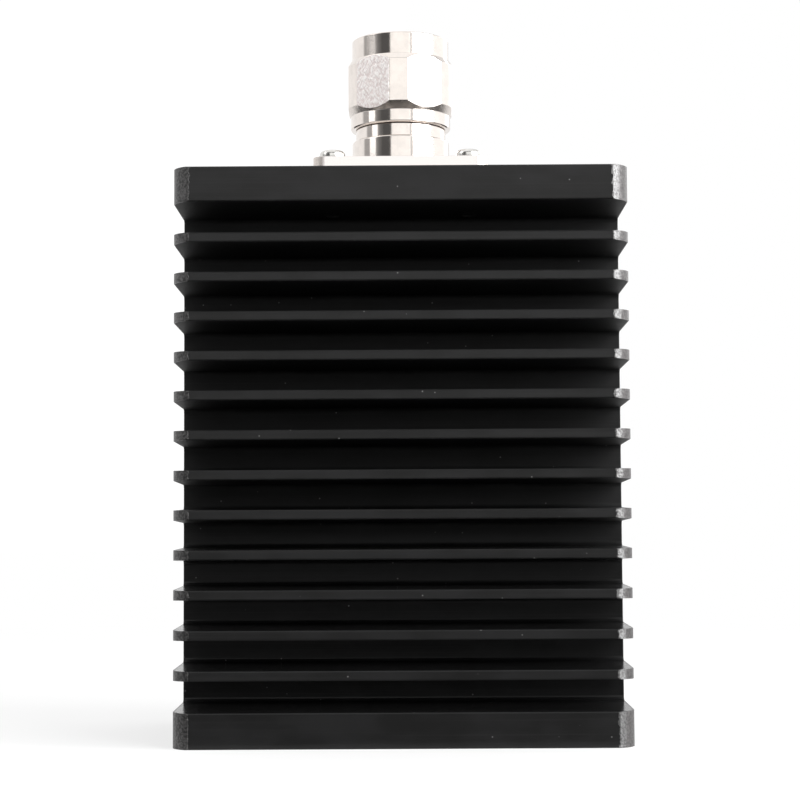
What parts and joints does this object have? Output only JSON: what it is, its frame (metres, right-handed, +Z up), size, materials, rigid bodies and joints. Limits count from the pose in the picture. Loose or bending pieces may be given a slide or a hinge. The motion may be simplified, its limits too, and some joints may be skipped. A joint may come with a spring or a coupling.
{
  "type": "one-port coaxial power load with finned heat sink",
  "caption": "Coaxial power load: black finned heat sink in two halves, with a flanged coaxial plug and its free coupling nut on the end face.",
  "frame": {"origin": "middle of the lower end face that the part stands on, which is also below the connector axis", "axes": "+Z up along the connector axis, X along the fins, Y across the two heat sink halves with the front half at -Y"},
  "size_m": [0.0816, 0.056, 0.1325],
  "materials": {
    "heat_sink": "satin black anodised extrusion with rough, glossier fin ends",
    "screw_steel": "zinc plated",
    "spring_steel": "plain spring steel",
    "copper_base": "nickel plated copper",
    "ceramic": "white ceramic",
    "film": "dark resistive film",
    "contact_gold": "gold plated",
    "insulator": "white fluoropolymer",
    "nickel": "bright nickel plate on turned brass",
    "nut_nickel": "bright nickel plate, milled flats",
    "flange_screw": "nickel plated",
    "gasket": "matt red silicone"
  },
  "bodies": {
    "load_body": {"front_heat_sink": "heat_sink", "rear_heat_sink": "heat_sink", "clamp_screws": "screw_steel", "clamp_washers": "spring_steel", "dowel_pins": "spring_steel", "resistor_base": "copper_base", "resistor_substrate": "ceramic", "resistor_film": "film", "resistor_cover": "ceramic", "resistor_tab": "contact_gold", "resistor_screws": "screw_steel", "rear_insulator": "insulator", "front_insulator": "insulator", "centre_contact": "contact_gold", "outer_contact": "nickel", "connector_shell": "nickel", "flange_screws": "flange_screw", "retaining_ring": "spring_steel", "sealing_gasket": "gasket"},
    "nut_body": {"coupling_nut": "nut_nickel"}
  },
  "joints": [
    {"name": "nut_spin", "type": "hinge", "parent": "load_body", "child": "nut_body", "pos_m": [0, 0, 0.11727], "axis": [0, 0, 1], "continuous": true}
  ]
}
